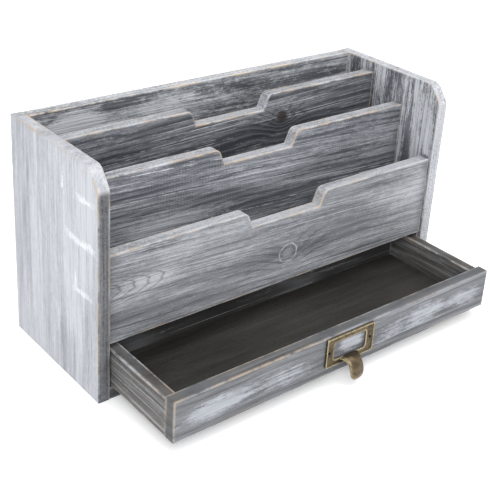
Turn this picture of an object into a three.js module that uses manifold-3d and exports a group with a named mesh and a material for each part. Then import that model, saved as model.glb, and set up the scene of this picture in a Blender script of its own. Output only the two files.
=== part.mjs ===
// A rustic wooden desk organizer: three letter slots with stepped dividers over one shallow drawer.
// Millimetres, +Z up, front towards -Y. The origin is the centre of the footprint, on the underside.
// The drawer is drawn open by DRAWER_OPEN.
import * as THREE from "three";
import { mergeVertices } from "three/addons/utils/BufferGeometryUtils.js";
import Module from "manifold-3d";

const wasm = await Module();
wasm.setup();

// Overall size and board thickness
const WIDTH = 330;
const DEPTH = 118;
const HEIGHT = 175;
const BOARD = 9.5;
const GLUE_LINE = 0.1; // between two boards that are glued face to face

// Side panels: the top front corner is clipped, and each end of the clip is eased
const CLIP_DEPTH = 11;
const CLIP_HEIGHT = 14;
const CLIP_EASING = 4;

// Letter slots: how far each board's front face stands behind the side panels' front edges
const FRONT_RECESS = 2.5;
const MIDDLE_SETBACK = 39.5;
const REAR_SETBACK = 76;
const OPENING_TOP = 43.5; // the top of the drawer opening
const FRONT_TOP = 112;
const MIDDLE_TOP = 148.5;
const REAR_TOP = 166.5;

// The notch in the top edge of every slot board
const NOTCH_DEPTH = 12.5;
const NOTCH_HALF_WIDTH = 33;
const NOTCH_SLOPE = 5; // how far each end leans outwards
const NOTCH_EASING = 4;

// Drawer
const DRAWER_OPEN = 76.5;
const DRAWER_DEPTH = 105;
const DRAWER_SIDE_GAP = 1.5;
const DRAWER_BOTTOM_GAP = 0.5;
const DRAWER_TOP_GAP = 1.5;
const DRAWER_SIDE_DROP = 2.5; // the sides stand this much lower than the front
const DRAWER_WALL = 9;
const PLY = 3; // the drawer's bottom
const GROOVE_DEPTH = 3;
const GROOVE_RISE = 2.5; // of the groove above the drawer's lower edge
const GROOVE_PLAY = 0.3;

// Label frame with its finger pull
const FRAME_WIDTH = 47;
const FRAME_HEIGHT = 24;
const FRAME_THICK = 2.2;
const FRAME_CORNER = 1.5;
const FRAME_RISE = 29; // the centre's height
const WINDOW_WIDTH = 31;
const WINDOW_HEIGHT = 14;
const WINDOW_CORNER = 2.5;
const CARD_LIP = 2;
const CARD_DEPTH = 0.9;
const PULL_WIDTH = 14;
const PULL_REACH = 13.5;
const PULL_DROP = 15.5;
const PULL_THICK = 2.8;
const PULL_BELOW_WINDOW = 0.6;
const PULL_ROOT_INSET = 0.4; // how deep the pull's root starts in the frame
const PULL_TIP_ROUND = 1;
const PIN_SPREAD = 20.2; // from the frame's centre to each pin
const PIN_HEAD_RADIUS = 1.2;
const PIN_SHANK_RADIUS = 0.6;
const PIN_SHANK = 7;
const PIN_HEAD_HEIGHT = 1;
const PIN_FACETS = 12;

// Brads
const BRAD_RADIUS = 0.6;
const BRAD_LENGTH = 25;
const BRAD_SUNK = 0.5;
const BRAD_FACETS = 8;
const HOLE_CLEARANCE = 0.3;
const DRAWER_BRAD_HEIGHTS = [18, 32];

const OUTER = WIDTH / 2;
const INNER = OUTER - BOARD;
const FRONT_Y = -DEPTH / 2;
const BACK_Y = DEPTH / 2;
const BACK_FACE = BACK_Y - BOARD;
const SHELF_TOP = OPENING_TOP + BOARD;
const DRAWER_HALF = INNER - DRAWER_SIDE_GAP;
const DRAWER_FRONT_Y = FRONT_Y + FRONT_RECESS - DRAWER_OPEN;
const DRAWER_LOW = BOARD + DRAWER_BOTTOM_GAP;
const DRAWER_HIGH = OPENING_TOP - DRAWER_TOP_GAP;

const material = (color, roughness, metalness = 0) =>
  new THREE.MeshStandardMaterial({ color, roughness, metalness });
const materials = {
  sideWood: material(0xb9bcc2, 0.75),
  slotWood: material(0x7f8388, 0.75),
  caseWood: material(0x5c5f63, 0.8),
  drawerFrontWood: material(0x8f9398, 0.75),
  drawerWood: material(0x55534f, 0.8),
  darkPly: material(0x34322f, 0.85),
  agedBrass: material(0x7d6a45, 0.4, 0.9),
  steel: material(0x3a3430, 0.5, 0.8),
};

const organizer = new THREE.Group();

function place(name, geometry, finish) {
  const mesh = new THREE.Mesh(geometry, finish);
  mesh.name = name;
  organizer.add(mesh);
  return mesh;
}

// A block between two corners.
function block(low, high) {
  const size = high.map((v, i) => v - low[i]);
  const middle = high.map((v, i) => (v + low[i]) / 2);
  return new THREE.BoxGeometry(...size).translate(...middle);
}

// Booleans, on closed geometries.
function toSolid(geometry) {
  const bare = geometry.index ? geometry.toNonIndexed() : geometry.clone();
  bare.deleteAttribute("normal");
  bare.deleteAttribute("uv");
  const merged = mergeVertices(bare, 1e-4);
  return new wasm.Manifold(
    new wasm.Mesh({
      numProp: 3,
      vertProperties: merged.attributes.position.array,
      triVerts: new Uint32Array(merged.index.array),
    }),
  );
}

function toGeometry(solid) {
  const mesh = solid.getMesh();
  return new THREE.BufferGeometry()
    .setAttribute("position", new THREE.BufferAttribute(mesh.vertProperties, 3))
    .setIndex(new THREE.BufferAttribute(mesh.triVerts, 1))
    .toNonIndexed();
}

function cut(geometry, tools) {
  const tool = tools.map(toSolid).reduce((sum, next) => sum.add(next));
  return toGeometry(toSolid(geometry).subtract(tool));
}

// A path with each listed corner eased by a short curve: points are [x, y, easing].
function easedShape(points) {
  const shape = new THREE.Shape();
  const count = points.length;
  points.forEach(([x, y, easing = 0], i) => {
    const corner = new THREE.Vector2(x, y);
    const before = new THREE.Vector2(...points[(i + count - 1) % count]);
    const after = new THREE.Vector2(...points[(i + 1) % count]);
    const towards = (other) =>
      corner.clone().add(other.clone().sub(corner).setLength(easing));
    const start = easing ? towards(before) : corner;
    if (i === 0) shape.moveTo(start.x, start.y);
    else shape.lineTo(start.x, start.y);
    if (easing) {
      const end = towards(after);
      shape.quadraticCurveTo(x, y, end.x, end.y);
    }
  });
  shape.closePath();
  return shape;
}

const extruded = (shape, depth, curveSegments = 5) =>
  new THREE.ExtrudeGeometry(shape, { depth, bevelEnabled: false, curveSegments });

// A side panel's outline is drawn with its depth along x and its height along y, then stood up.
function sidePanel(sign) {
  const outline = easedShape([
    [FRONT_Y, 0],
    [BACK_Y, 0],
    [BACK_Y, HEIGHT],
    [FRONT_Y + CLIP_DEPTH, HEIGHT, CLIP_EASING],
    [FRONT_Y, HEIGHT - CLIP_HEIGHT, CLIP_EASING],
  ]);
  return extruded(outline, BOARD)
    .rotateX(Math.PI / 2)
    .rotateZ(Math.PI / 2)
    .translate(sign > 0 ? INNER : -OUTER, 0, 0);
}

// A slot board stands between the sides, with a notch in the middle of its top edge.
function slotBoard(frontY, low, top) {
  const half = INNER - GLUE_LINE;
  const notch = NOTCH_HALF_WIDTH;
  const lip = notch + NOTCH_SLOPE;
  const outline = easedShape([
    [-half, low],
    [half, low],
    [half, top],
    [lip, top, NOTCH_EASING],
    [notch, top - NOTCH_DEPTH],
    [-notch, top - NOTCH_DEPTH],
    [-lip, top, NOTCH_EASING],
    [-half, top],
  ]);
  return extruded(outline, BOARD)
    .rotateX(Math.PI / 2)
    .translate(0, frontY + BOARD, 0);
}

// Brads, each driven through one board's outer face along X. Every board that a brad passes
// through is listed with the holes that it needs.
const brads = [];
const holes = new Map();

function bradAlongX(name, faceX, y, z, boards) {
  const inwards = -Math.sign(faceX);
  const start = faceX + inwards * BRAD_SUNK;
  const middle = start + (inwards * BRAD_LENGTH) / 2;
  const rod = (radius, length) =>
    new THREE.CylinderGeometry(radius, radius, length, BRAD_FACETS)
      .rotateZ(Math.PI / 2)
      .translate(middle, y, z);
  brads.push([name, rod(BRAD_RADIUS, BRAD_LENGTH)]);
  const bore = rod(BRAD_RADIUS + HOLE_CLEARANCE, BRAD_LENGTH + 4 * HOLE_CLEARANCE);
  boards.forEach((board) => {
    if (!holes.has(board)) holes.set(board, []);
    holes.get(board).push(bore);
  });
}

function drilled(name, geometry) {
  return holes.has(name) ? cut(geometry, holes.get(name)) : geometry;
}

// Where the case's brads go: the board that each pair holds, and its [y, z] places. A lying board
// has its pair at one height, and a standing board has it at one depth.
const midBoard = BOARD / 2;
const frontFace = FRONT_Y + FRONT_RECESS;
const lying = (low, ...depths) => depths.map((y) => [y, low + midBoard]);
const standing = (face, ...heights) => heights.map((z) => [face + midBoard, z]);
const caseBrads = [
  ["base_panel", lying(0, -35, 30)],
  ["slot_floor", lying(OPENING_TOP, -25, 25)],
  ["front_panel", standing(frontFace, 65, 97)],
  ["middle_divider", standing(FRONT_Y + MIDDLE_SETBACK, 75, 130)],
  ["rear_divider", standing(FRONT_Y + REAR_SETBACK, 75, 145)],
  ["back_panel", standing(BACK_FACE, 25, 155)],
];
const hands = [
  ["left", -1],
  ["right", 1],
];
for (const [hand, sign] of hands)
  for (const [board, places] of caseBrads)
    places.forEach(([y, z], i) =>
      bradAlongX(`brad_${board}_${hand}_${i + 1}`, sign * OUTER, y, z, [
        board,
        `side_panel_${hand}`,
      ]),
    );

const drawerBackY = DRAWER_FRONT_Y + DRAWER_DEPTH - DRAWER_WALL;
for (const [hand, sign] of hands)
  DRAWER_BRAD_HEIGHTS.forEach((z, i) =>
    bradAlongX(
      `brad_drawer_${hand}_${i + 1}`,
      sign * DRAWER_HALF,
      drawerBackY + DRAWER_WALL / 2,
      z,
      ["drawer_back", `drawer_side_${hand}`],
    ),
  );

// The case
function buildCase() {
  for (const [hand, sign] of hands) {
    const name = `side_panel_${hand}`;
    place(name, drilled(name, sidePanel(sign)), materials.sideWood);
  }
  const half = INNER - GLUE_LINE;
  const inside = BACK_FACE - GLUE_LINE;
  const boards = {
    base_panel: [block([-half, FRONT_Y, 0], [half, inside, BOARD]), materials.caseWood],
    slot_floor: [
      block([-half, frontFace + BOARD + GLUE_LINE, OPENING_TOP], [half, inside, SHELF_TOP]),
      materials.caseWood,
    ],
    back_panel: [block([-half, BACK_FACE, 0], [half, BACK_Y, HEIGHT]), materials.caseWood],
    front_panel: [slotBoard(frontFace, OPENING_TOP, FRONT_TOP), materials.slotWood],
    middle_divider: [
      slotBoard(FRONT_Y + MIDDLE_SETBACK, SHELF_TOP + GLUE_LINE, MIDDLE_TOP),
      materials.slotWood,
    ],
    rear_divider: [
      slotBoard(FRONT_Y + REAR_SETBACK, SHELF_TOP + GLUE_LINE, REAR_TOP),
      materials.slotWood,
    ],
  };
  for (const [name, [geometry, finish]] of Object.entries(boards))
    place(name, drilled(name, geometry), finish);
}

// The drawer: a front, two sides and a back around a plywood bottom held in grooves
function buildDrawer() {
  const wallInner = DRAWER_HALF - DRAWER_WALL;
  const frontBack = DRAWER_FRONT_Y + BOARD;
  const boxBack = DRAWER_FRONT_Y + DRAWER_DEPTH;
  const sideTop = DRAWER_HIGH - DRAWER_SIDE_DROP;
  const plyLow = DRAWER_LOW + GROOVE_RISE;
  const grown = (by) =>
    block(
      [-wallInner - GROOVE_DEPTH - by, frontBack - GROOVE_DEPTH - by, plyLow - by],
      [wallInner + GROOVE_DEPTH + by, drawerBackY + GROOVE_DEPTH + by, plyLow + PLY + by],
    );
  const grooved = (name, low, high) =>
    drilled(name, cut(block(low, high), [grown(GROOVE_PLAY)]));

  const front = cut(
    block([-DRAWER_HALF, DRAWER_FRONT_Y, DRAWER_LOW], [DRAWER_HALF, frontBack, DRAWER_HIGH]),
    [grown(GROOVE_PLAY), ...[-1, 1].map(pinHole)],
  );
  place("drawer_front", front, materials.drawerFrontWood);
  for (const [hand, sign] of hands) {
    const name = `drawer_side_${hand}`;
    const [a, b] = [sign * wallInner, sign * DRAWER_HALF].sort((p, q) => p - q);
    const side = grooved(name, [a, frontBack + GLUE_LINE, DRAWER_LOW], [b, boxBack, sideTop]);
    place(name, side, materials.drawerWood);
  }
  const half = wallInner - GLUE_LINE;
  const back = grooved("drawer_back", [-half, drawerBackY, DRAWER_LOW], [half, boxBack, sideTop]);
  place("drawer_back", back, materials.drawerWood);
  place("drawer_bottom", grown(0), materials.darkPly);
}

// The pins that hold the label frame, and their holes, stand along -Y.
const standOut = (geometry, x) =>
  geometry.rotateX(Math.PI).translate(x, DRAWER_FRONT_Y, FRAME_RISE);

function pinHole(sign) {
  const radius = PIN_SHANK_RADIUS + HOLE_CLEARANCE;
  const depth = PIN_SHANK + 2 * HOLE_CLEARANCE;
  const bore = new THREE.CylinderGeometry(radius, radius, 2 * depth, BRAD_FACETS);
  return standOut(bore, sign * PIN_SPREAD);
}

function pin() {
  const under = FRAME_THICK / 2 + HOLE_CLEARANCE / 2;
  const shoulder = [PIN_HEAD_RADIUS * 0.8, under + PIN_HEAD_HEIGHT * 0.7];
  const profile = [
    [0, -PIN_SHANK],
    [PIN_SHANK_RADIUS, -PIN_SHANK],
    [PIN_SHANK_RADIUS, under],
    [PIN_HEAD_RADIUS, under],
    shoulder,
    [0, under + PIN_HEAD_HEIGHT],
  ];
  const points = profile.map(([r, h]) => new THREE.Vector2(r, h));
  return new THREE.LatheGeometry(points, PIN_FACETS);
}

// A rectangle with eased corners about the origin.
function roundedRect(width, height, corner) {
  const [w, h] = [width / 2, height / 2];
  return easedShape([
    [-w, -h, corner],
    [w, -h, corner],
    [w, h, corner],
    [-w, h, corner],
  ]);
}

// The frame stands with its back at y = 0. The card slides into a pocket behind the window.
function labelPull() {
  const plate = (width, height, corner, backY, frontY) =>
    extruded(roundedRect(width, height, corner), backY - frontY, 4)
      .rotateX(Math.PI / 2)
      .translate(0, backY, 0);
  const beyond = 2 * FRAME_THICK;
  const frame = plate(FRAME_WIDTH, FRAME_HEIGHT, FRAME_CORNER, 0, -FRAME_THICK);
  const window = plate(WINDOW_WIDTH, WINDOW_HEIGHT, WINDOW_CORNER, beyond, -beyond);
  const pocket = plate(
    WINDOW_WIDTH + 2 * CARD_LIP,
    WINDOW_HEIGHT + 2 * CARD_LIP,
    WINDOW_CORNER,
    beyond,
    -CARD_DEPTH,
  );
  const seats = [-1, 1].flatMap((sign) => [
    pinRod(PIN_SHANK_RADIUS, sign, beyond, -beyond),
    pinRod(PIN_HEAD_RADIUS, sign, -FRAME_THICK / 2, -beyond),
  ]);
  const open = toSolid(cut(frame, [window, pocket, ...seats]));
  const whole = toGeometry(open.add(toSolid(fingerPull())));
  return whole.translate(0, DRAWER_FRONT_Y - GLUE_LINE, FRAME_RISE);
}

// The room for a pin's shank or head, along Y.
function pinRod(radius, sign, backY, frontY) {
  const wide = radius + HOLE_CLEARANCE;
  const rod = new THREE.CylinderGeometry(wide, wide, backY - frontY, PIN_FACETS);
  return rod.translate(sign * PIN_SPREAD, (backY + frontY) / 2, 0);
}

// The finger pull's side view: a leaf that leaves the frame's lower rim and curls forward and
// down. It is drawn with the reach along x and the height along y.
function fingerPull() {
  const root = -WINDOW_HEIGHT / 2 - PULL_BELOW_WINDOW;
  const tip = root - PULL_DROP;
  const far = PULL_REACH;
  const near = PULL_REACH - PULL_THICK;
  const above = tip + PULL_TIP_ROUND;
  const outline = new THREE.Shape();
  outline.moveTo(PULL_ROOT_INSET, root);
  outline.bezierCurveTo(
    far * 0.55,
    root + PULL_ROOT_INSET,
    far,
    root - PULL_DROP * 0.45,
    far,
    above,
  );
  outline.quadraticCurveTo(far, tip, (far + near) / 2, tip);
  outline.quadraticCurveTo(near, tip, near, above);
  outline.bezierCurveTo(
    near,
    root - PULL_DROP * 0.5,
    far * 0.45,
    root - PULL_THICK,
    PULL_ROOT_INSET,
    root - PULL_THICK,
  );
  outline.closePath();
  return extruded(outline, PULL_WIDTH, 6)
    .translate(0, 0, -PULL_WIDTH / 2)
    .rotateX(Math.PI / 2)
    .rotateZ(-Math.PI / 2);
}

buildCase();
buildDrawer();
place("label_pull", labelPull(), materials.agedBrass);
for (const [hand, sign] of hands)
  place(`label_pin_${hand}`, standOut(pin(), sign * PIN_SPREAD), materials.steel);
for (const [name, geometry] of brads) place(name, geometry, materials.steel);

export default organizer;
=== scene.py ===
import math
from collections import namedtuple
from functools import reduce

import bmesh
import bpy
from mathutils import Matrix, Vector, noise
from mathutils.geometry import tessellate_polygon


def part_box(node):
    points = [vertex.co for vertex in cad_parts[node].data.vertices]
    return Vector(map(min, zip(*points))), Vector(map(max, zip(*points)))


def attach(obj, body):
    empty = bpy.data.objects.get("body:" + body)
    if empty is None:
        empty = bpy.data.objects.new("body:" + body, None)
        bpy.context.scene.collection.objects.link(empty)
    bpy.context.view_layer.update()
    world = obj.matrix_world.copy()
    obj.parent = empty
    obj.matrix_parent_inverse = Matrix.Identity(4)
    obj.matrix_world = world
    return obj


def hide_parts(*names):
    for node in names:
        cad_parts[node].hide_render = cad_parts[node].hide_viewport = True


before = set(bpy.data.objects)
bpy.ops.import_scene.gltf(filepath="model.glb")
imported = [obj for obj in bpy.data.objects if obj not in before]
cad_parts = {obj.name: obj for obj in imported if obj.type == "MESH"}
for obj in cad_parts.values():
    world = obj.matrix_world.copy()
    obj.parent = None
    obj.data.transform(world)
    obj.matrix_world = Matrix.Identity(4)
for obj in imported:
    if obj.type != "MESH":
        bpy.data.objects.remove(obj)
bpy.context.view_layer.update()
MM = 0.001
AXES = {"X": 0, "Y": 1, "Z": 2}


def link(thing):
    bpy.context.scene.collection.objects.link(thing)
    return thing


# ---------------------------------------------------------------- camera, floor and light

AZIMUTH, ELEVATION, ROLL = -40.311, 24.141, 3.701
CAMERA_AT = Vector((-0.46083, -0.55357, 0.43515))
FOCAL = 72.65
SHIFT_Y = -0.15

FLOOR_REACH = 6.0
FLOOR_COLOUR = (0.93, 0.93, 0.93, 1)
FLOOR_GLOW = (0.95, 0.97, 1.0, 1)
FLOOR_GLOW_STRENGTH = 0.22
WORLD_STRENGTH = 0.75


def add_camera():
    az, el, roll = (math.radians(a) for a in (AZIMUTH, ELEVATION, ROLL))
    back = Vector((math.sin(az) * math.cos(el), -math.cos(az) * math.cos(el), math.sin(el)))
    right = Vector((math.cos(az), math.sin(az), 0))
    up = back.cross(right)
    side = right * math.cos(roll) + up * math.sin(roll)
    top = up * math.cos(roll) - right * math.sin(roll)
    turned = Matrix((side, top, back)).transposed().to_4x4()
    data = bpy.data.cameras.new("camera")
    data.lens = FOCAL
    data.sensor_width = 36
    data.shift_y = SHIFT_Y
    data.clip_start = 0.01
    camera = link(bpy.data.objects.new("camera", data))
    camera.matrix_world = Matrix.Translation(CAMERA_AT) @ turned
    bpy.context.scene.camera = camera


def add_light(name, at, aim, size, watts):
    """A square soft light."""
    data = bpy.data.lights.new(name, "AREA")
    data.shape = "RECTANGLE"
    data.size = data.size_y = size
    data.energy = watts
    lamp = link(bpy.data.objects.new(name, data))
    lamp.location = at
    lamp.rotation_euler = (Vector(aim) - Vector(at)).to_track_quat("-Z", "Y").to_euler()


def add_floor():
    r = FLOOR_REACH
    mesh = bpy.data.meshes.new("floor")
    mesh.from_pydata([(-r, -r, 0), (r, -r, 0), (r, r, 0), (-r, r, 0)], [], [(0, 1, 2, 3)])
    paper = bpy.data.materials.new("floor_paper")
    paper.use_nodes = True
    shader = paper.node_tree.nodes["Principled BSDF"]
    shader.inputs["Base Color"].default_value = FLOOR_COLOUR
    shader.inputs["Roughness"].default_value = 0.9
    shader.inputs["Specular IOR Level"].default_value = 0.1
    shader.inputs["Emission Color"].default_value = FLOOR_GLOW
    shader.inputs["Emission Strength"].default_value = FLOOR_GLOW_STRENGTH
    mesh.materials.append(paper)
    link(bpy.data.objects.new("floor", mesh))


def add_studio():
    add_floor()
    world = bpy.data.worlds.new("studio")
    world.use_nodes = True
    background = world.node_tree.nodes["Background"]
    background.inputs["Color"].default_value = (1, 1, 1, 1)
    background.inputs["Strength"].default_value = WORLD_STRENGTH
    bpy.context.scene.world = world
    bpy.context.scene.view_settings.view_transform = "Standard"
    add_light("key", (-1.2, -1.5, 1.5), (0, 0, 0.08), 1.0, 26)
    add_light("top", (0.2, -0.2, 2.0), (0, 0, 0.05), 1.6, 20)
    add_light("fill", (1.6, -0.9, 0.9), (0, 0, 0.08), 1.2, 6)


# ---------------------------------------------------------------- node helpers


class Graph:
    """A short way to write shader nodes. Values are numbers, colours or sockets."""

    def __init__(self, name):
        self.material = bpy.data.materials.new(name)
        self.material.use_nodes = True
        self.tree = self.material.node_tree
        self.shader = self.tree.nodes["Principled BSDF"]

    def node(self, kind, inputs=(), **settings):
        n = self.tree.nodes.new(kind)
        for key, value in settings.items():
            setattr(n, key, value)
        for key, value in dict(inputs).items():
            self.feed(n.inputs[key], value)
        return n

    def feed(self, socket, value):
        if isinstance(value, bpy.types.NodeSocket):
            self.tree.links.new(value, socket)
        elif isinstance(value, (tuple, list)) and socket.type == "RGBA":
            socket.default_value = (*value, 1)[:4]
        else:
            socket.default_value = value

    def set(self, key, value):
        self.feed(self.shader.inputs[key], value)

    def math(self, operation, a, b=0.0, clamp=False):
        settings = {"operation": operation, "use_clamp": clamp}
        return self.node("ShaderNodeMath", {0: a, 1: b}, **settings).outputs[0]

    def plus(self, *values):
        return reduce(lambda a, b: self.math("ADD", a, b), values)

    def minus(self, a, b):
        return self.math("SUBTRACT", a, b)

    def times(self, *values):
        return reduce(lambda a, b: self.math("MULTIPLY", a, b), values)

    def highest(self, *values):
        return reduce(lambda a, b: self.math("MAXIMUM", a, b), values)

    def without(self, mask):
        return self.math("SUBTRACT", 1.0, mask, clamp=True)

    def absolute(self, value):
        return self.math("ABSOLUTE", value)

    def distance(self, u, v):
        return self.math("SQRT", self.plus(self.times(u, u), self.times(v, v)))

    def centred(self, value, factor):
        """A noise value, from around 0.5 to around 0, times a factor."""
        return self.times(self.minus(value, 0.5), factor)

    def ramp(self, value, low, high, to_low=0.0, to_high=1.0):
        limits = {"From Min": low, "From Max": high, "To Min": to_low, "To Max": to_high}
        return self.node("ShaderNodeMapRange", {"Value": value, **limits}, clamp=True).outputs["Result"]

    def mix(self, factor, a, b):
        n = self.node("ShaderNodeMix", data_type="RGBA")
        self.feed(n.inputs[0], factor)
        self.feed(n.inputs[6], a)
        self.feed(n.inputs[7], b)
        return n.outputs[2]

    def noise(self, vector, scale, detail, roughness, distortion=0.0):
        settings = {
            "Vector": vector,
            "Scale": scale,
            "Detail": detail,
            "Roughness": roughness,
            "Distortion": distortion,
        }
        return self.node("ShaderNodeTexNoise", settings).outputs["Fac"]

    def place(self, vector, scale, offset=(0, 0, 0)):
        settings = {"Vector": vector, "Scale": scale, "Location": offset}
        return self.node("ShaderNodeMapping", settings).outputs["Vector"]

    def millimetres(self):
        at = self.node("ShaderNodeTexCoord").outputs["Object"]
        return self.place(at, (1 / MM, 1 / MM, 1 / MM))

    def attribute(self, name):
        return self.node("ShaderNodeAttribute", attribute_name=name).outputs["Fac"]

    def bump(self, height, strength, distance):
        settings = {"Strength": strength, "Distance": distance, "Height": height}
        self.set("Normal", self.node("ShaderNodeBump", settings).outputs["Normal"])


# ---------------------------------------------------------------- wood

TAN = (0.46, 0.37, 0.28)
PALE_TAN = (0.58, 0.48, 0.37)
CHALK = (0.64, 0.66, 0.70)
FRESH_WHITE = (0.88, 0.89, 0.92)
KNOT_BROWN = (0.040, 0.028, 0.022)
NIGHT = (0.012, 0.012, 0.013)
ASH = (0.105, 0.11, 0.122)

# Features of a board, in millimetres along and across its grain
Heart = namedtuple("Heart", "across depth slope spacing")  # the log's centre and its rings
Knot = namedtuple("Knot", "along across radius stretch darkness swell outline")
Figure = namedtuple("Figure", "along across length half_width lines")  # nested arcs of grain
Cloud = namedtuple("Cloud", "along across half_length half_width change")  # of the whitewash
Stroke = namedtuple("Stroke", "along across half_length half_width")  # a white brush mark
SawMarks = namedtuple("SawMarks", "along half_length")
FarFace = namedtuple("FarFace", "beyond amount")  # the face past that place in the thickness
BareEdge = namedtuple("BareEdge", "across along darkness")  # before one place, below the other


class Look:
    """What one board's wood looks like: its two bare tones, and whatever differs from here."""

    chalk = CHALK  # the whitewash's colour
    amount = 0.5  # the share of whitewash that is left
    opacity = 0.8
    crisp = 1.0  # how sharp the whitewash's borders are
    lines = 0.5  # strength of the thin white lines in the grain
    cracks = 0.4  # strength of the dark ones
    rings = 0.5  # strength of the growth rings
    contrast = 1.0  # between the two tones
    streaky = 1.0  # strength of the streaks along the grain
    smoke = 0.25  # strength of broad lighter and darker patches
    skew = 0.0  # how far the grain leans across the board
    rim_amount = None  # the share of whitewash on the narrow sides, if another
    rim_shade = 1.0  # below 1, the narrow sides are darker
    wear = 0.6  # of the corners
    wear_colour = TAN
    darkening = None  # the distance from the middle beyond which the board gets darker towards its ends, if it does
    heart = Heart(0, 60, 0.10, 9.0)
    knots = figures = clouds = strokes = saw_marks = ()
    far_face = bare_edge = None

    def __init__(self, dark, light, **others):
        self.dark = dark
        self.light = light
        for name, value in others.items():
            setattr(self, name, value)


class Wood(Graph):
    """Weathered wood with a worn whitewash, built up in layers: bare wood, whitewash, marks and darker
    ends, and worn corners. axes names the board's axes along, across and through its grain."""

    SAW_PITCH = 2.6

    def __init__(self, name, axes, seed, look):
        super().__init__(name)
        self.seed = seed
        self.look = look
        split = self.node("ShaderNodeSeparateXYZ", {0: self.millimetres()}).outputs
        self.along, self.across, self.thick = (split[AXES[a]] for a in axes)
        leaning = self.plus(self.across, self.times(self.along, look.skew))
        combined = {0: self.along, 1: leaning, 2: self.thick}
        self.board = self.node("ShaderNodeCombineXYZ", combined).outputs[0]
        self.rim = self.attribute("rim")
        self.shade = tuple(0.4 * c for c in look.dark)

        self.fine = self.grain(55, 1.15, 2.0, 0.6)
        self.medium = self.grain(130, 3.4, 3.0, 0.6, 5.0, 0.15)
        self.broad = self.grain(170, 15.0, 3.0, 0.6, 11.0, 0.4)
        self.mottle = self.grain(11, 5.0, 5.0, 0.7, 13.0, 0.5)
        self.scuff = self.grain(5.5, 0.85, 3.0, 0.75, 53.0, 0.3)
        self.speck = self.grain(1.6, 1.2, 2.0, 0.6, 59.0)
        self.bend = self.grain(120, 26.0, 2.0, 0.5, 17.0)

        self.radius = self.distance_from_heart()
        self.knot_mask, self.halo = self.add_knots()
        self.late, self.early = self.growth_rings()
        self.crack = self.dark_lines()
        self.bare_rim = self.bare_edge()
        self.whitewash = self.whitewash_left()

        colour = self.bare_wood()
        colour = self.mix(self.whitewash, colour, look.chalk)
        colour = self.marks_and_darkening(colour)
        colour = self.worn_corners(colour)
        self.set("Base Color", colour)
        self.set("Roughness", self.ramp(self.plus(self.fine, self.whitewash), 0.2, 1.5, 0.56, 0.86))
        self.set("Specular IOR Level", 0.28)
        self.bump(self.relief(), 0.8, 0.0008)

    def grain(self, length, width, detail=3.0, roughness=0.6, shift=0.0, distortion=0.0):
        """Noise stretched along the grain, with blotches of about length by width."""
        offset = (self.seed * 3.7 + shift, self.seed * 1.9 - shift, self.seed * 2.3)
        stretched = self.place(self.board, (1 / length, 1 / width, 1 / width), offset)
        return self.noise(stretched, 1.0, detail, roughness, distortion)

    def offsets(self, feature, scale_along=1.0, scale_across=1.0):
        """How far a point is from a feature's middle, along and across the grain."""
        u = self.math("DIVIDE", self.minus(self.along, feature.along), scale_along)
        v = self.math("DIVIDE", self.minus(self.across, feature.across), scale_across)
        return u, v

    def distance_from_heart(self):
        heart = self.look.heart
        side = self.minus(self.plus(self.across, self.centred(self.bend, 22.0)), heart.across)
        down = self.plus(self.times(self.along, heart.slope), heart.depth)
        return self.distance(side, down)

    def add_knots(self):
        """Bends the rings around each knot. Returns where knots are dark, and where their
        outline and centre are white, or None twice."""
        masks, halos = [], []
        for knot in self.look.knots:
            size = knot.radius
            reach = self.distance(*self.offsets(knot, knot.stretch))
            reach = self.plus(reach, self.centred(self.grain(9, 9.0, 2.0, 0.5, 23.0), size * 0.8))
            pull = self.ramp(reach, size * 0.6, size * 4.5, 1.0, 0.0)
            self.radius = self.plus(self.radius, self.times(pull, pull, knot.swell))
            heartwood = self.ramp(reach, size * 0.45, size * 0.95, knot.darkness, 0.0)
            from_ring = self.absolute(self.minus(reach, size * 1.35))
            masks += [heartwood, self.ramp(from_ring, 0.25, 0.8, knot.darkness * 0.35, 0.0)]
            from_outline = self.absolute(self.minus(reach, size))
            uneven = self.ramp(self.grain(3.5, 3.5, 3.0, 0.7, 83.0), 0.38, 0.55, 0.25, 1.0)
            outline = self.times(self.ramp(from_outline, 0.2, 0.9, knot.outline, 0.0), uneven)
            dust = self.ramp(self.grain(0.9, 0.9, 2.0, 0.7, 89.0), 0.36, 0.60)
            eye = self.times(self.ramp(reach, size * 0.3, size * 0.8, knot.outline * 0.7, 0.0), dust)
            halos += [outline, eye]
        if not masks:
            return None, None
        return self.highest(*masks), self.highest(*halos)

    def growth_rings(self):
        """The dark late wood and the pale early wood of each ring."""
        wave = self.math("SINE", self.times(self.radius, math.tau / self.look.heart.spacing))
        patchy = self.ramp(self.mottle, 0.3, 0.6, 0.5, 1.0)
        late = self.times(self.math("POWER", self.ramp(wave, 0.0, 1.0), 3.0), patchy)
        early = self.math("POWER", self.ramp(wave, 0.0, -1.0), 4.0)
        return late, early

    def bare_wood(self):
        look = self.look
        streaks = self.plus(self.centred(self.medium, 0.34), self.centred(self.fine, 0.26))
        calm = self.grain(80, 26.0, 2.0, 0.5, 67.0)
        lively = self.ramp(calm, 0.40, 0.60, 0.4 * look.streaky, 1.2 * look.streaky)
        tone = self.plus(
            self.times(self.broad, 0.40),
            self.times(streaks, lively),
            self.centred(self.scuff, 0.16),
            self.centred(self.speck, 0.12),
            self.centred(self.grain(90, 32.0, 2.0, 0.5, 71.0), look.smoke),
            0.30,
            *[self.saw_teeth(marks) for marks in look.saw_marks],
        )
        half_range = 0.12 / look.contrast
        balance = self.ramp(tone, 0.5 - half_range, 0.5 + half_range)
        colour = self.mix(balance, look.dark, look.light)
        colour = self.mix(self.times(self.late, 0.8 * look.rings), colour, self.shade)
        if self.knot_mask is not None:
            colour = self.mix(self.times(self.knot_mask, 0.85), colour, KNOT_BROWN)
        return colour

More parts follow.
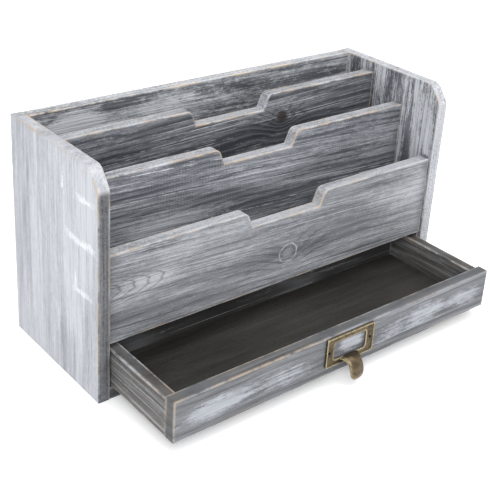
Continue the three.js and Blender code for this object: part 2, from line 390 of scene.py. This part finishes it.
    def saw_teeth(self, marks):
        """Faint stripes across the grain."""
        reach = self.absolute(self.minus(self.along, marks.along))
        near = self.ramp(reach, marks.half_length * 0.5, marks.half_length, 1.0, 0.0)
        near = self.times(near, self.ramp(self.mottle, 0.35, 0.6))
        wobbly = self.plus(self.along, self.centred(self.bend, 9.0))
        teeth = self.math("SINE", self.times(wobbly, math.tau / self.SAW_PITCH))
        return self.times(teeth, near, 0.05)

    def amount_left(self):
        """The share of whitewash that is left at each point."""
        look = self.look
        left = look.amount
        if look.far_face:
            left = self.mix_faces(look.amount, look.far_face.amount)
        for cloud in look.clouds:
            reach = self.distance(*self.offsets(cloud, cloud.half_length, cloud.half_width))
            ragged = self.plus(reach, self.centred(self.medium, 1.4))
            left = self.plus(left, self.ramp(ragged, 0.4, 1.3, cloud.change, 0.0))
        if look.rim_amount is not None:
            left = self.ramp(self.rim, 0.3, 0.7, left, look.rim_amount)
        return left

    def mix_faces(self, near, far):
        """One value on the near face, and another on the far one."""
        middle = self.look.far_face.beyond
        return self.ramp(self.thick, middle - 0.5, middle + 0.5, near, far)

    def whitewash_left(self):
        """A thin film in soft patches, and what is caught in the grain."""
        look = self.look
        cover = self.plus(
            self.times(self.broad, 0.36),
            self.times(self.medium, 0.26),
            self.times(self.mottle, 0.24),
            self.times(self.fine, 0.14),
            self.centred(self.scuff, 0.22),
            self.centred(self.speck, 0.10),
            self.times(self.late, -0.05 * look.rings),
        )
        limit = self.minus(0.70, self.times(self.amount_left(), 0.40))
        film = self.ramp(self.minus(cover, limit), -0.07 / look.crisp, 0.12 / look.crisp)
        crumbs = self.times(self.rim, self.ramp(self.speck, 0.42, 0.58, 0.45, 0.0))
        thinned = self.ramp(self.fine, 0.30, 0.62, 0.62, 1.0)
        film = self.times(film, look.opacity, thinned, self.without(crumbs))

        thread = self.ramp(self.grain(190, 1.0, 1.0, 0.5, 29.0), 0.60, 0.69)
        patchy = self.ramp(self.plus(self.mottle, self.centred(self.broad, 1.2)), 0.36, 0.56)
        pale_rings = self.times(self.early, 0.45 * look.rings)
        thread = self.times(self.highest(self.times(thread, patchy), pale_rings), look.lines)

        whitewash = self.highest(film, thread)
        if self.knot_mask is not None:
            whitewash = self.times(whitewash, self.without(self.knot_mask))
            whitewash = self.highest(whitewash, self.halo)
        if self.bare_rim is not None:
            whitewash = self.times(whitewash, self.without(self.bare_rim))
        return whitewash

    def bare_edge(self):
        """Where one narrow side has lost its whitewash, or None."""
        edge = self.look.bare_edge
        if not edge:
            return None
        before = self.ramp(self.across, edge.across + 0.3, edge.across - 0.3)
        below = self.ramp(self.along, edge.along + 3, edge.along - 3)
        patchy = self.ramp(self.medium, 0.3, 0.6, edge.darkness, edge.darkness * 0.75)
        return self.times(before, below, patchy)

    def dark_lines(self):
        """Cracks along the grain, and the arcs of each figure."""
        crack = self.ramp(self.grain(90, 0.9, 2.0, 0.55, 37.0), 0.63, 0.70)
        crack = self.times(crack, self.ramp(self.mottle, 0.38, 0.56), self.look.cracks)
        for figure in self.look.figures:
            u, v = self.offsets(figure, figure.length, figure.half_width)
            level = self.plus(u, self.times(v, v), self.centred(self.medium, 0.22))
            wave = self.math("SINE", self.times(level, math.tau * figure.lines))
            arcs = self.math("POWER", self.ramp(wave, 0.0, 1.0), 4.0)
            inside = self.ramp(level, 0.95, 1.05, 0.6, 0.0)
            broken = self.ramp(self.speck, 0.3, 0.55, 0.5, 1.0)
            crack = self.highest(crack, self.times(arcs, inside, broken))
        return crack

    def marks_and_darkening(self, colour):
        """Darker narrow sides and cracks, white brush marks, and darkening towards the ends."""
        look = self.look
        if self.bare_rim is not None:
            speckled = self.plus(self.fine, self.centred(self.speck, 1.2))
            charred = self.mix(self.ramp(speckled, 0.3, 0.8), NIGHT, ASH)
            colour = self.mix(self.bare_rim, colour, charred)
        if look.rim_shade < 1:
            darker = self.ramp(self.rim, 0.4, 0.9, 0.0, 1 - look.rim_shade)
            colour = self.mix(darker, colour, self.shade)
        colour = self.mix(self.crack, colour, self.shade)
        if look.strokes:
            colour = self.mix(self.brush_marks(), colour, FRESH_WHITE)
        # Darker towards both ends of the board.
        if look.darkening is not None:
            reach = self.plus(self.absolute(self.along), self.centred(self.mottle, 12.0))
            darker_end = self.ramp(reach, look.darkening, look.darkening + 12, 0.0, 0.55)
            colour = self.mix(darker_end, colour, self.shade)
        return colour

    def brush_marks(self):
        """White strokes, on the near face only."""
        marks = []
        drift = self.centred(self.grain(14, 14.0, 3.0, 0.6, 61.0), 9.0)
        jitter = self.centred(self.grain(3.2, 6.0, 5.0, 0.8, 31.0), 3.4)
        for stroke in self.look.strokes:
            along = self.minus(self.plus(self.along, drift), stroke.along)
            across = self.minus(self.minus(self.across, drift), stroke.across)
            u = self.math("DIVIDE", self.absolute(along), stroke.half_length)
            v = self.math("DIVIDE", self.absolute(across), stroke.half_width)
            ragged = self.plus(self.highest(u, v), jitter)
            marks.append(self.ramp(ragged, 0.3, 1.5, 0.85, 0.0))
        dry = self.ramp(self.scuff, 0.36, 0.60, 0.2, 1.0)
        near = self.mix_faces(1.0, 0.0)
        return self.times(self.highest(*marks), dry, near, self.without(self.rim))

    def worn_corners(self, colour):
        """Corners rubbed down to bare wood or to chalk."""
        rub = self.ramp(self.grain(15, 15.0, 5.0, 0.7, 41.0), 0.36, 0.56)
        worn = self.times(self.attribute("edge"), rub, self.look.wear)
        if self.bare_rim is not None:
            worn = self.times(worn, self.without(self.times(self.bare_rim, 0.5)))
        chalky = self.ramp(self.grain(34, 30.0, 3.0, 0.6, 47.0), 0.42, 0.60)
        rubbed = self.mix(chalky, self.look.wear_colour, tuple(0.8 * c for c in self.look.chalk))
        return self.mix(worn, colour, rubbed)

    def relief(self):
        return self.plus(
            self.times(self.fine, 0.5),
            self.times(self.scuff, 0.35),
            self.times(self.mottle, 0.2),
            self.times(self.whitewash, 0.2),
            self.times(self.plus(self.crack, self.late), -0.25),
        )


# ---------------------------------------------------------------- meshes

SPACING = 2.5  # between the points of an outline
EASING_STEPS = 5
SOFT_STEPS = 4  # of a rounded corner
FACE_INSETS = (2.2, 1.4)  # of the two rings on a face, inside its rounded corner
RIM_BAND = 1.7  # from each face to the nearest ring on the narrow side


def resampled(outline):
    """The outline's corners, with points between them at an even spacing of about SPACING."""
    points = []
    for i, a in enumerate(outline):
        b = outline[(i + 1) % len(outline)]
        steps = max(1, round((b - a).length / SPACING))
        points += [a.lerp(b, k / steps) for k in range(steps)]
    return points


def inward_normals(points):
    """The direction and length that moves each point inwards by one unit, with mitred corners."""
    count = len(points)
    normals = []
    for i, p in enumerate(points):
        before = (p - points[i - 1]).normalized()
        after = (points[(i + 1) % count] - p).normalized()
        n1, n2 = (Vector((-d.y, d.x)) for d in (before, after))
        normals.append((n1 + n2) / max(0.35, 1 + n1.dot(n2)))
    return normals


def eased(corners):
    """Corner points (x, y) or (x, y, easing), each eased one turned into a short curve."""
    result = []
    count = len(corners)
    for i, corner in enumerate(corners):
        at = Vector(corner[:2])
        if len(corner) == 2:
            result.append(at)
            continue
        start = at + (Vector(corners[i - 1][:2]) - at).normalized() * corner[2]
        end = at + (Vector(corners[(i + 1) % count][:2]) - at).normalized() * corner[2]
        for k in range(EASING_STEPS + 1):
            t = k / EASING_STEPS
            result.append((1 - t) ** 2 * start + 2 * t * (1 - t) * at + t * t * end)
    return result


def skin(mesh, loops):
    """Faces from each loop of points to the next."""
    for a, b in zip(loops, loops[1:]):
        for s in range(len(a)):
            t = (s + 1) % len(a)
            mesh.faces.new((a[s], a[t], b[t], b[s]))


def finished(name, mesh, material, body, node):
    """A piece that stands for a CAD node, from its bmesh."""
    bmesh.ops.recalc_face_normals(mesh, faces=mesh.faces)
    data = bpy.data.meshes.new(name)
    mesh.to_mesh(data)
    mesh.free()
    data.materials.append(material)
    data.shade_smooth()
    piece = link(bpy.data.objects.new(name, data))
    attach(piece, body)
    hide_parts(node)
    return piece


# ---------------------------------------------------------------- boards

CLIP_DEPTH = 11
CLIP_HEIGHT = 14
CLIP_EASING = 4
NOTCH_DEPTH = 12.5
NOTCH_HALF_WIDTH = 33
NOTCH_SLOPE = 5
NOTCH_EASING = 4


def node_box(node):
    """A node's lowest and highest corners in millimetres."""
    return [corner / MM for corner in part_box(node)]


def rectangle(node, plane):
    low, high = node_box(node)
    i, j = (AXES[a] for a in plane[:2])
    return [(low[i], low[j]), (high[i], low[j]), (high[i], high[j]), (low[i], high[j])]


def notched(node, plane):
    """A slot board's outline."""
    foot_left, foot_right, top_right, top_left = rectangle(node, plane)
    top = top_left[1]
    lip = NOTCH_HALF_WIDTH + NOTCH_SLOPE
    return [
        foot_left,
        foot_right,
        top_right,
        (lip, top, NOTCH_EASING),
        (NOTCH_HALF_WIDTH, top - NOTCH_DEPTH),
        (-NOTCH_HALF_WIDTH, top - NOTCH_DEPTH),
        (-lip, top, NOTCH_EASING),
        top_left,
    ]


def clipped(node, plane):
    """A side panel's outline."""
    foot_front, foot_back, top_back, (front, top) = rectangle(node, plane)
    return [
        foot_front,
        foot_back,
        top_back,
        (front + CLIP_DEPTH, top, CLIP_EASING),
        (front, top - CLIP_HEIGHT, CLIP_EASING),
    ]


def corner_wear(points, softness, seed):
    """The radius to which each point of the outline is rounded, uneven along the edge."""
    wear = []
    for p in points:
        slow = noise.noise(Vector((p.x * 0.045, p.y * 0.045, seed * 7.3)))
        nicks = noise.noise(Vector((p.x * 0.21, p.y * 0.21, seed * 3.1 + 50)))
        wear.append(softness * (0.6 + 0.2 * slow + 0.4 * max(0, nicks) ** 1.5))
    return wear


def half_profile(thickness):
    """The rings from a face to the narrow side, each as (depth, inset, worn depth, worn inset,
    edge, rim). The worn ones are in units of the corner's wear at each point."""
    outer, inner = FACE_INSETS
    rings = [(0, outer, 0, 0, 0, 0), (0, inner, 0, 0, 0.15, 0)]
    for step in range(SOFT_STEPS + 1):
        a = math.pi / 2 * step / SOFT_STEPS
        rings.append((0, 0, 1 - math.cos(a), 1 - math.sin(a), 1, step / SOFT_STEPS))
    rings.append((min(RIM_BAND, 0.4 * thickness), 0, 0, 0, 0.1, 1))
    return rings


def build_board(name, node, plane, outline, grain, look, softness, seeds, body="case"):
    """A worn board that stands for a CAD board. plane names the outline's two axes and then the
    thickness axis, and grain the axes along, across and through the grain. seeds are the
    wood's and the edges'."""
    low, high = node_box(node)
    i, j, k = (AXES[a] for a in plane)
    points = resampled(eased(outline(node, plane)))
    normals = inward_normals(points)
    wear = corner_wear(points, softness, seeds[1])
    half = half_profile(high[k] - low[k])
    rings = [(high[k], -1, ring) for ring in half]
    rings += [(low[k], 1, ring) for ring in reversed(half)]
    mesh = bmesh.new()
    edge_layer = mesh.verts.layers.float.new("edge")
    rim_layer = mesh.verts.layers.float.new("rim")
    loops = []
    for face, inwards, (depth, inset, worn_depth, worn_inset, edge, rim) in rings:
        loop = []
        for p, n, w in zip(points, normals, wear):
            at = Vector((0, 0, 0))
            at[i], at[j] = p + n * (inset + w * worn_inset)
            at[k] = face + inwards * (depth + w * worn_depth)
            vert = mesh.verts.new(at * MM)
            vert[edge_layer] = edge
            vert[rim_layer] = rim
            loop.append(vert)
        loops.append(loop)
    skin(mesh, loops)
    for loop in (loops[0], loops[-1]):
        for triangle in tessellate_polygon([[v.co for v in loop]]):
            mesh.faces.new([loop[t] for t in triangle])
    material = Wood(f"wood_{name}", grain, seeds[0], look).material
    piece = finished(f"board_{name}", mesh, material, body, node)
    shading = piece.modifiers.new("shading", "WEIGHTED_NORMAL")
    shading.keep_sharp = False


def build_sides():
    left = Look(
        (0.29, 0.302, 0.33),
        (0.44, 0.458, 0.495),
        chalk=(0.59, 0.61, 0.645),
        amount=0.66,
        opacity=0.9,
        cracks=0.3,
        rings=0.3,
        contrast=0.8,
        rim_amount=0.5,
        wear=0.8,
        heart=Heart(20, 70, 0.05, 7),
        far_face=FarFace(-160.5, 0.6),
        bare_edge=BareEdge(-58.6, 160, 0.95),
        strokes=[
            Stroke(149, -43, 1.7, 10),
            Stroke(153, -14, 6, 1.2),
            Stroke(116, -38, 2.2, 17),
            Stroke(78, -39, 1.8, 9),
            Stroke(85, -30, 6, 1.0),
        ],
        clouds=[
            Cloud(100, 46, 90, 12, -0.35),
            Cloud(130, -46, 50, 12, 0.25),
            Cloud(60, 8, 60, 8, -0.2),
            Cloud(20, -20, 24, 20, -0.2),
        ],
    )
    right = Look(
        (0.05, 0.055, 0.068),
        (0.20, 0.21, 0.24),
        amount=0.48,
        opacity=0.9,
        crisp=2.4,
        lines=0.8,
        cracks=1.0,
        rings=0.4,
        rim_amount=0.75,
        wear=0.7,
        heart=Heart(-20, 60, 0.06, 7),
        far_face=FarFace(160.5, 0.7),
        clouds=[
            Cloud(107, 5, 12, 8, -0.4),
            Cloud(120, -48, 50, 10, 0.2),
            Cloud(107, -52, 8, 5, -0.5),
        ],
    )
    for hand, look, softness, seeds in (("left", left, 1.1, (3, 1)), ("right", right, 1.0, (9, 2))):
        build_board(
            f"side_{hand}",
            f"side_panel_{hand}",
            "YZX",
            clipped,
            "ZYX",
            look,
            softness,
            seeds,
        )


def build_back():
    look = Look(
        (0.058, 0.062, 0.072),
        (0.19, 0.20, 0.222),
        amount=0.48,
        opacity=0.85,
        crisp=1.6,
        rim_amount=0.68,
        wear=1.0,
        wear_colour=PALE_TAN,
        heart=Heart(120, 40, 0.03, 6),
        clouds=[Cloud(-118, 160, 22, 12, 0.5), Cloud(-40, 165, 30, 8, 0.2)],
    )
    build_board("back", "back_panel", "XZY", rectangle, "XZY", look, 0.8, (14, 3))


def build_lying_boards():
    heart = Heart(0, 60, 0.05, 9)
    base = Look((0.018, 0.018, 0.02), (0.06, 0.062, 0.068), amount=0.15, wear=0.25, heart=heart)
    shelf = Look((0.03, 0.031, 0.033), (0.09, 0.092, 0.1), amount=0.25, wear=0.4, heart=heart)
    plane = "XYZ"
    build_board("base", "base_panel", plane, rectangle, plane, base, 0.7, (21, 4))
    build_board("slot_floor", "slot_floor", plane, rectangle, plane, shelf, 0.6, (27, 5))


def build_slot_boards():
    front = Look(
        (0.115, 0.12, 0.133),
        (0.245, 0.253, 0.275),
        amount=0.40,
        opacity=0.58,
        rings=0.42,
        contrast=0.85,
        smoke=0.4,
        skew=0.03,
        rim_amount=0.85,
        wear=0.9,
        darkening=146,
        heart=Heart(10, 30, 0.03, 5.5),
        knots=[Knot(4, 68, 7.2, 1.2, 0.12, 9, 0.6)],
        figures=[Figure(-162, 84, 60, 15, 5)],
        clouds=[
            Cloud(-120, 83, 22, 7, 0.35),
            Cloud(150, 90, 60, 18, 0.3),
            Cloud(-60, 104, 70, 5, 0.3),
        ],
    )
    middle = Look(
        (0.066, 0.071, 0.084),
        (0.175, 0.184, 0.206),
        amount=0.37,
        opacity=0.6,
        lines=0.75,
        rings=0.45,
        skew=0.05,
        rim_amount=0.85,
        wear=0.95,
        darkening=148,
        heart=Heart(20, 40, 0.02, 5),
        saw_marks=[SawMarks(-60, 60), SawMarks(100, 30)],
        clouds=[
            Cloud(-80, 100, 60, 7, 0.45),
            Cloud(140, 130, 40, 20, 0.2),
            Cloud(-30, 76, 90, 10, 0.25),
        ],
    )
    rear = Look(
        (0.040, 0.043, 0.053),
        (0.125, 0.132, 0.150),
        amount=0.34,
        opacity=0.6,
        lines=0.6,
        skew=-0.03,
        rim_amount=0.85,
        wear=0.95,
        darkening=148,
        heart=Heart(60, 40, 0.03, 5),
        knots=[Knot(53, 145, 6.8, 1.15, 0.95, 12, 0.0)],
    )
    for name, node, look, seeds in (
        ("front", "front_panel", front, (33, 6)),
        ("middle", "middle_divider", middle, (41, 7)),
        ("rear", "rear_divider", rear, (52, 8)),
    ):
        build_board(name, node, "XZY", notched, "XZY", look, 0.9, seeds)


def build_drawer_board(name, plane, look, softness, seeds):
    build_board(name, name, plane, rectangle, plane, look, softness, seeds, body="drawer")


def build_drawer():
    front = Look(
        (0.09, 0.094, 0.102),
        (0.19, 0.196, 0.21),
        chalk=(0.43, 0.45, 0.49),
        amount=0.24,
        opacity=0.85,
        crisp=1.5,
        rim_amount=0.06,
        rim_shade=0.42,
        heart=Heart(-20, 40, 0.02, 5),
        clouds=[
            Cloud(-118, 25, 28, 9, 0.5),
            Cloud(-60, 25, 30, 8, 0.4),
            Cloud(40, 25, 16, 8, 0.3),
            Cloud(80, 28, 34, 9, 0.5),
            Cloud(130, 25, 22, 9, 0.5),
            Cloud(2, 30, 14, 8, 0.6),
            Cloud(0, 9, 300, 6, -0.5),
        ],
    )
    side = Look(
        (0.055, 0.053, 0.052),
        (0.15, 0.144, 0.138),
        amount=0.22,
        opacity=0.5,
        rim_amount=0.05,
        rim_shade=0.46,
        wear=0.65,
        heart=Heart(-20, 40, 0.02, 6),
    )
    rear = Look((0.02, 0.02, 0.02), (0.06, 0.059, 0.058), amount=0.1, heart=Heart(20, 60, 0.05, 8))
    ply = Look(
        (0.013, 0.0125, 0.011),
        (0.046, 0.0435, 0.039),
        amount=0.0,
        lines=0.03,
        rings=0.1,
        contrast=0.9,
        streaky=0.3,
        smoke=0.3,
        wear=0.2,
        heart=Heart(-80, 60, 0.1, 14),
    )
    build_drawer_board("drawer_front", "XZY", front, 1.0, (60, 9))
    build_drawer_board("drawer_side_left", "YZX", side, 0.9, (67, 67))
    build_drawer_board("drawer_side_right", "YZX", side, 0.9, (73, 73))
    build_drawer_board("drawer_back", "XZY", rear, 0.7, (79, 10))
    build_drawer_board("drawer_bottom", "XYZ", ply, 0.2, (85, 11))


# ---------------------------------------------------------------- brass and steel

GLUE_LINE = 0.1
FRAME_WIDTH = 47
FRAME_HEIGHT = 24
WINDOW_WIDTH = 31
WINDOW_HEIGHT = 14
FRAME_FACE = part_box("drawer_front")[0].y / MM - GLUE_LINE  # the frame's back
FRAME_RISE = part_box("label_pull")[1].z / MM - FRAME_HEIGHT / 2  # its centre's height
CORNER_POINTS = 6
CASTING_ROUND = 0.12

# The finger pull, in millimetres: its middle line's reach and rise at four control points, from
# the frame's lower border forward and down, and its half width and half thickness
PULL_ROOT = FRAME_RISE - WINDOW_HEIGHT / 2 - 1.6
PULL_LINE = [
    Vector((0.8, PULL_ROOT)),
    Vector((8.0, PULL_ROOT + 1.0)),
    Vector((11.6, PULL_ROOT - 5.4)),
    Vector((11.2, PULL_ROOT - 14.4)),
]
PULL_HALF_WIDTH = 5.9
PULL_HALF_THICK = 1.15
PULL_STEPS = 26
PULL_AROUND = 20


def aged_brass():
    g = Graph("aged_brass")
    at = g.millimetres()
    cloud = g.noise(at, 0.22, 5.0, 0.6, 0.4)
    darkening = g.noise(at, 0.9, 6.0, 0.7)
    worn = g.attribute("edge")
    colour = g.mix(g.ramp(cloud, 0.35, 0.65), (0.06, 0.046, 0.03), (0.15, 0.115, 0.068))
    rubbed = g.times(worn, g.ramp(darkening, 0.32, 0.55))
    colour = g.mix(rubbed, colour, (0.50, 0.42, 0.26))
    colour = g.mix(g.ramp(darkening, 0.56, 0.7, 0.0, 0.5), colour, (0.03, 0.026, 0.02))
    g.set("Base Color", colour)
    g.set("Metallic", 0.92)
    g.set("Roughness", g.ramp(g.minus(darkening, g.times(worn, 0.25)), 0.2, 0.75, 0.22, 0.52))
    g.bump(darkening, 0.3, 0.0003)
    return g.material


def dark_steel(name, low, high):
    g = Graph(name)
    speck = g.noise(g.millimetres(), 1.3, 4.0, 0.6)
    g.set("Base Color", g.mix(speck, low, high))
    g.set("Metallic", 0.8)
    g.set("Roughness", g.ramp(speck, 0.3, 0.7, 0.35, 0.6))
    g.bump(speck, 0.2, 0.0002)
    return g.material


def rounded_rectangle(width, height, corner):
    """Points of a rounded rectangle about the origin, anticlockwise."""
    points = []
    for quarter, (sx, sz) in enumerate(((1, -1), (1, 1), (-1, 1), (-1, -1))):
        cx, cz = sx * (width / 2 - corner), sz * (height / 2 - corner)
        for s in range(CORNER_POINTS):
            a = math.radians(-90 + 90 * quarter + 90 * s / (CORNER_POINTS - 1))
            points.append((cx + corner * math.cos(a), cz + corner * math.sin(a)))
    return points


def build_label_frame(brass):
    """A cast frame: rings from the back's outer edge, over the raised rim, into the window."""
    from_outline = (  # how far in, corner radius, how far it stands out, wear
        (0, 1.5, 0.0, 0),
        (0, 1.5, 1.3, 0.2),
        (0.15, 1.6, 1.9, 0.9),
        (0.45, 1.6, 2.2, 1),
        (0.75, 1.4, 2.15, 0.8),
        (1.05, 1.2, 1.7, 0.1),
        (1.25, 1.0, 1.3, 0),
    )
    from_window = (  # how far out, then the same
        (1.7, 3.2, 1.3, 0),
        (1.2, 3.1, 1.55, 0.35),
        (0.7, 2.9, 1.6, 0.8),
        (0.2, 2.6, 1.3, 0.9),
        (0, 2.5, 0.9, 0),
        (2, 2.5, 0.9, 0),
        (2, 2.5, 0.0, 0),
    )
    rings = [(FRAME_WIDTH - 2 * d, FRAME_HEIGHT - 2 * d, *rest) for d, *rest in from_outline]
    rings += [(WINDOW_WIDTH + 2 * d, WINDOW_HEIGHT + 2 * d, *rest) for d, *rest in from_window]
    mesh = bmesh.new()
    edge = mesh.verts.layers.float.new("edge")
    loops = []
    for width, height, corner, out, wear in rings:
        loop = []
        for x, z in rounded_rectangle(width, height, corner):
            vert = mesh.verts.new(Vector((x, FRAME_FACE - out, FRAME_RISE + z)) * MM)
            vert[edge] = wear
            loop.append(vert)
        loops.append(loop)
    skin(mesh, loops + loops[:1])
    piece = finished("label_frame", mesh, brass, "drawer", "label_pull")
    piece.modifiers.new("round", "BEVEL").width = CASTING_ROUND * MM
    piece.modifiers.new("shading", "WEIGHTED_NORMAL")


def bezier(a, b, c, d, t):
    return (1 - t) ** 3 * a + 3 * t * (1 - t) ** 2 * b + 3 * t * t * (1 - t) * c + t**3 * d


def superellipse(value, power):
    return math.copysign(abs(value) ** power, value)


def pull_section(t):
    """One section of the finger pull as (x, out from the frame, height, wear) points."""
    at = bezier(*PULL_LINE, t)
    ahead = bezier(*PULL_LINE, min(1, t + 0.01)) - bezier(*PULL_LINE, max(0, t - 0.01))
    ahead.normalize()
    normal = Vector((-ahead.y, ahead.x))
    bulge = math.sin(math.pi * t)
    tip = max(0.0, (t - 0.80) / 0.20)
    flare = max(0.0, 1 - t / 0.45) ** 1.6
    narrowing = math.sqrt(max(0.0, 1 - tip**2.6 * 0.7))
    half_width = (PULL_HALF_WIDTH + 3.6 * flare + 0.6 * bulge) * narrowing
    half_thick = PULL_HALF_THICK + 0.3 * bulge - 0.6 * tip**4
    section = []
    for r in range(PULL_AROUND):
        a = math.tau * r / PULL_AROUND
        x = superellipse(math.cos(a), 0.45) * half_width
        thick = superellipse(math.sin(a), 0.7) * half_thick
        if thick > 0:
            thick += (0.4 + 1.1 * bulge) * (1 - (x / half_width) ** 2)
        p = at + normal * thick
        section.append((x, p.x, p.y, 0.8 * abs(math.cos(a)) ** 4 + 0.35 * tip))
    return section


def build_finger_pull(brass):
    mesh = bmesh.new()
    edge = mesh.verts.layers.float.new("edge")
    loops = []
    for s in range(PULL_STEPS + 1):
        loop = []
        for x, out, height, wear in pull_section(s / PULL_STEPS):
            vert = mesh.verts.new(Vector((x, FRAME_FACE - out, height)) * MM)
            vert[edge] = wear
            loop.append(vert)
        loops.append(loop)
    skin(mesh, loops)
    mesh.faces.new(loops[0])
    mesh.faces.new(loops[-1])
    finished("finger_pull", mesh, brass, "drawer", "label_pull")


def finish_pins():
    """Brads and pins keep their CAD shapes."""
    steel = dark_steel("dark_steel", (0.02, 0.018, 0.015), (0.09, 0.075, 0.06))
    # The label pins get near-black steel: painted shade that stands for the dark holes they sit in.
    hole_shade_steel = dark_steel("painted_hole_shade_steel", (0.006, 0.006, 0.006), (0.02, 0.018, 0.016))
    for prefix, material in (("brad_", steel), ("label_pin_", hole_shade_steel)):
        for name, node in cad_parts.items():
            if name.startswith(prefix):
                node.data.materials.clear()
                node.data.materials.append(material)


add_camera()
add_studio()
build_sides()
build_back()
build_lying_boards()
build_slot_boards()
build_drawer()
brass = aged_brass()
build_label_frame(brass)
build_finger_pull(brass)
finish_pins()
